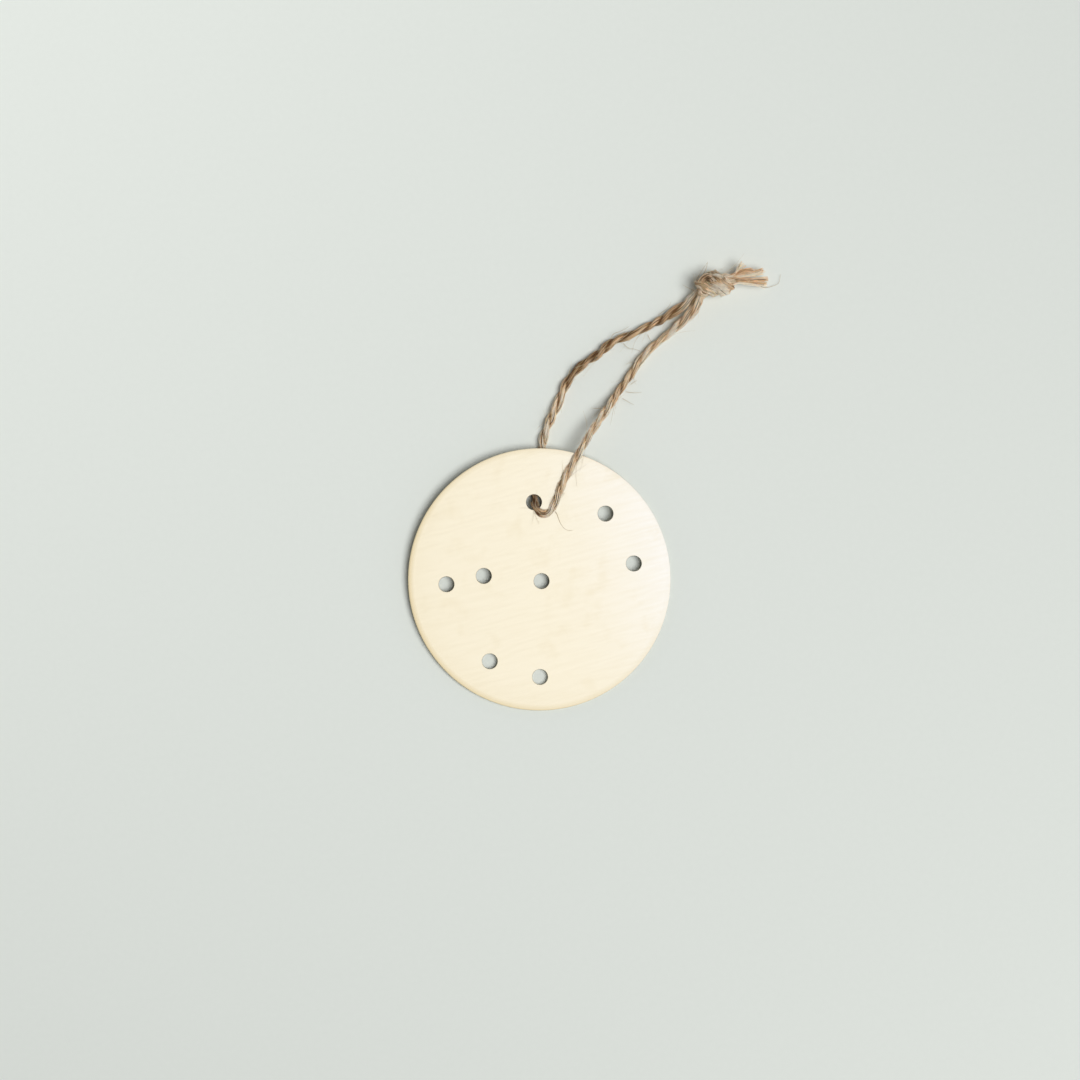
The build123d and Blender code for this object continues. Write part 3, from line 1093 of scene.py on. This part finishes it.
hairs = {
    "placed": (
        ((0.00393, 0.01286, 0.0034), (0.00424, 0.01253, 0.0029), (0.00458, 0.01111, 0.0025),
         (0.00503, 0.01003, 0.00235), (0.00571, 0.00925, 0.0023), (0.00643, 0.00893, 0.0023),
         (0.00703, 0.00904, 0.0023)),
        ((0.04677, 0.05362, 0.0006), (0.04751, 0.0532, 0.0005), (0.04976, 0.05372, 0.0004),
         (0.05038, 0.0541, 0.0004), (0.05071, 0.05571, 0.0003)),
        ((0.03411, 0.05539, 0.0032), (0.0352, 0.0572, 0.0024), (0.03668, 0.05889, 0.0016)),
        ((0.0192, 0.03508, 0.0011), (0.02095, 0.03459, 0.0008), (0.02228, 0.03479, 0.0005)),
        ((0.01425, 0.03217, 0.0024), (0.01291, 0.0321, 0.0022), (0.01228, 0.03244, 0.0019)),
        ((0.0194, 0.0444, 0.0011), (0.02021, 0.04324, 0.0009), (0.0214, 0.04337, 0.0007),
         (0.02276, 0.04262, 0.0006)),
        ((0.02424, 0.04569, 0.001), (0.0246, 0.04448, 0.0008), (0.02516, 0.04415, 0.0006)),
        ((0.01851, 0.03379, 0.0012), (0.0196, 0.033, 0.0011), (0.02065, 0.03246, 0.0007)),
        ((0.02032, 0.03647, 0.001), (0.0209, 0.0369, 0.001), (0.02157, 0.03714, 0.0007)),
        ((0.01714, 0.04591, 0.001), (0.0176, 0.0466, 0.0009), (0.01927, 0.04679, 0.0007),
         (0.02075, 0.04768, 0.0005)),
        ((0.02651, 0.04956, 0.0011), (0.0281, 0.0503, 0.0012), (0.02892, 0.05132, 0.0009),
         (0.02914, 0.05184, 0.0007)),
        ((0.0336, 0.0536, 0.0024), (0.0326, 0.0542, 0.0018), (0.03162, 0.05495, 0.0012)),
        ((0.0357, 0.0567, 0.0026), (0.03645, 0.0577, 0.0021), (0.0367, 0.059, 0.0017)),
    ),
    "placedWidth": 0.00005,
    "placedTone": 0.3,
    "width": (0.000018, 0.000036),
    "tone": (0.2, 0.8),
    "thinning": 0.6,
    "sides": 3,
    "step": 0.0003,
    "resolution": 8,
    "count": 260,
    "length": (0.0012, 0.0045),
    "wrapShorter": 0.6,
    "rootShare": 0.9,
    "lift": (0.15, 0.55),
    "lowest": -0.2,  # a hair that points further down is turned up
    "bend": 0.3,
    "bendUp": (-0.6, 0.2),
    "bowShares": ((0.35, 0.25, 0), (0.7, 0.7, 0.5), (0.9, 1, 1)),  # of the length, the lift and the bend
    "crossing": 170,  # hairs that lie across the twine
    "crossingSteps": (7, 18),
    "crossingTurn": (0.06, 0.22),
    "crossingReach": 0.97,
    "crossingLift": 0.25,  # at its two ends
    "crossingTone": (0.5, 1),
    "floor": 0.0001,
    "clear": 0.00008,
    "swingReach": 0.0185,  # how far from the hanging hole the disc can lie under the swinging strand
    "seed": 23,
}


def addHair(pile, points, halfWidth, tone):
    frames = twistFrames(evenPlaces(smoothLine(points, hairs["resolution"]), hairs["step"]))
    rings = []
    for index, (place, ahead, side, other) in enumerate(frames):
        thin = halfWidth * (1 - hairs["thinning"] * (index / (len(frames) - 1)))
        rings.append(ringRound(place, side, other, thin, thin, hairs["sides"]))
    pile.addTube(rings, [tone] * len(rings))


def crossingHair(pile, luck):
    # a hair that lies on the twine and goes part of the way round it
    steps = luck.randint(*hairs["crossingSteps"])
    kind, first, last = luck.choice(twineSpans)
    at = luck.randrange(first, last - steps)
    angle = luck.uniform(0, 2 * math.pi)
    swing = luck.choice((-1, 1)) * luck.uniform(*hairs["crossingTurn"])
    halfWidth = luck.uniform(*hairs["width"])
    rings = []
    for step, station in enumerate(twineStations[at:at + steps]):
        out, beside = outAndRound(station["side"], station["other"], angle + swing * step)
        atEnd = abs(2 * step / (steps - 1) - 1) ** 4
        reach = station["radius"] * (hairs["crossingReach"] + hairs["crossingLift"] * atEnd)
        middle = station["place"] + pressed(station, out * reach)
        rings.append(ringRound(middle, beside, out, halfWidth, halfWidth, hairs["sides"]))
    pile.addTube(rings, [luck.uniform(*hairs["crossingTone"])] * len(rings))


def keepOffDisc(point, front):
    # a hair of the front strand stays above the disc, also where the loop can swing to,
    # and one of the back strand stays under it
    under = (point.y + discRadius) * math.sin(discLean)
    if (point.xy - Vector(disc["hangingHole"])).length < hairs["swingReach"]:
        if front:
            point.z = max(point.z, under + disc["thickness"] + hairs["clear"])
        else:
            point.z = min(point.z, under - hairs["clear"])
    point.z = max(point.z, hairs["floor"])


def strayHair(pile, luck):
    station = luck.choice(twineStations[2:-2])
    out, beside = outAndRound(station["side"], station["other"], luck.uniform(0, 2 * math.pi))
    if out.z < hairs["lowest"]:
        out.z = -out.z
    way = station["ahead"] * luck.choice((-1, 1))
    length = luck.uniform(*hairs["length"]) * (1 - hairs["wrapShorter"] * station["wrap"])
    lift = luck.uniform(*hairs["lift"])
    root = station["place"] + out * station["radius"] * hairs["rootShare"]
    bend = Vector((luck.uniform(-1, 1), luck.uniform(-1, 1), luck.uniform(*hairs["bendUp"])))
    bend = bend * length * hairs["bend"]
    points = [root] + [root + way * length * ahead + out * length * lift * up + bend * bent
                       for ahead, up, bent in hairs["bowShares"]]
    for point in points:
        keepOffDisc(point, isFront(station["past"]))
    addHair(pile, points, luck.uniform(*hairs["width"]), luck.uniform(*hairs["tone"]))


def looseHairs():
    pile = MeshPile()
    luck = random.Random(hairs["seed"])
    for places in hairs["placed"]:
        addHair(pile, [Vector(place) for place in places], hairs["placedWidth"], hairs["placedTone"])
    for number in range(hairs["count"]):
        strayHair(pile, luck)
    for number in range(hairs["crossing"]):
        crossingHair(pile, luck)
    return pile.makeObject("looseHairs", juteMaterial("juteHair"))


strayHairs = looseHairs()


# Table and light

table = {
    "size": 1.6,
    "colour": (0.777, 0.815, 0.769),
    "paintedLightDrift": 0.06,  # painted light and shade: how much lighter or darker the corners of the picture are
    "half": 0.104,
    "paintedLightMiddle": (0.069, -0.042, 0),
    "grain": (900, 5),  # scale and detail
    "mottle": (0.985, 1.015),
    "shader": {"Roughness": 0.9, "Specular IOR Level": 0.1},
}

studio = {
    "fill": 0.18,  # the sky's part of the light, and the lamp gives the rest
    "horizon": 1.8,  # the sky is brighter low down, as round a table with pale walls
    "zenith": 0.1,
    "heights": (0.2, 0.9),  # where it begins to darken, and where it is darkest
    "skyAverage": 0.684,  # what such a sky gives a level table
    "lampWay": (1, -0.36, 2.28),
    "lampDistance": 4,
    "lampSize": 2.9,
    "darkSide": 0.5,  # what the metal sees low on the side away from the lamp
    "brightSide": 1.01,
    "sides": (-0.1, 0.85),  # how much towards the lamp these two lie
}
lampWay = Vector(studio["lampWay"]).normalized()


def tableMaterial():
    material, tree, shader, place = newMaterial("palePaper")
    # painted light and shade: the table is lighter on one diagonal and darker on the other
    moved = vectorMath(tree, "SUBTRACT", {0: place, 1: table["paintedLightMiddle"]})
    axes = addNode(tree, "ShaderNodeSeparateXYZ", {"Vector": moved}).outputs
    product = joined(tree, "MULTIPLY", axes["X"], axes["Y"], clamp=False)
    corner = table["half"] ** 2
    level = mapped(tree, product, -corner, corner, 1 + table["paintedLightDrift"], 1 - table["paintedLightDrift"], clamp=False)
    mottle = mapped(tree, speckled(tree, place, *table["grain"]), 0, 1, *table["mottle"])
    both = joined(tree, "MULTIPLY", level, mottle, clamp=False)
    tint = vectorMath(tree, "SCALE", {0: table["colour"], "Scale": both})
    feed(tree, shader, {"Base Color": tint, **table["shader"]})
    return material


def layTable():
    bpy.ops.object.select_all(action="DESELECT")
    bpy.ops.mesh.primitive_plane_add(size=table["size"])
    sheet = bpy.context.active_object
    sheet.name = "tableTop"
    dress(sheet, tableMaterial())


def hangLamp():
    lamp = bpy.data.lights.new("softbox", "AREA")
    lamp.shape = "DISK"
    lamp.size = studio["lampSize"]
    lamp.energy = (1 - studio["fill"]) * math.pi ** 2 * studio["lampDistance"] ** 2 / lampWay.z
    holder = bpy.data.objects.new("softbox", lamp)
    bpy.context.collection.objects.link(holder)
    holder.location = lampWay * studio["lampDistance"]
    holder.rotation_euler = lampWay.to_track_quat("Z", "Y").to_euler()
    holder.visible_glossy = False  # the metal mirrors the pale sky


def lightSky():
    world = bpy.data.worlds.new("paleStudio")
    bpy.context.scene.world = world
    world.use_nodes = True
    tree = world.node_tree
    rays = addNode(tree, "ShaderNodeLightPath", {}).outputs
    seen = joined(tree, "MAXIMUM", rays["Is Camera Ray"], rays["Is Glossy Ray"], clamp=False)
    seen = joined(tree, "MAXIMUM", seen, rays["Is Transmission Ray"], clamp=False)
    # light that the metal throws on the table is the plain fill
    seen = joined(tree, "SUBTRACT", seen, rays["Diffuse Depth"])
    way = addNode(tree, "ShaderNodeTexCoord", {}).outputs["Generated"]
    towards = vectorMath(tree, "DOT_PRODUCT", {0: way, 1: lampWay}, "Value")
    shown = mapped(tree, towards, *studio["sides"], studio["darkSide"], studio["brightSide"])
    height = addNode(tree, "ShaderNodeSeparateXYZ", {"Vector": way}).outputs["Z"]
    low, high = (studio["fill"] * studio[part] / studio["skyAverage"] for part in ("horizon", "zenith"))
    plain = mapped(tree, height, *studio["heights"], low, high)
    strength = addNode(tree, "ShaderNodeMix", {"Factor": seen, "A": plain, "B": shown}).outputs["Result"]
    feed(tree, tree.nodes["Background"], {"Color": (1, 1, 1, 1), "Strength": strength})


layTable()
hangLamp()
lightSky()
print("table and light ready")


# What each piece rides on and stands for

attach(brassSheet, "disc")
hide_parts("brass_disc")
for piece in (twineLoop, twineKnot, frayedBrush, strayHairs):
    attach(piece, "loop")
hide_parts("hanging_loop")
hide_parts("overhand_knot")
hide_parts("frayed_ends")
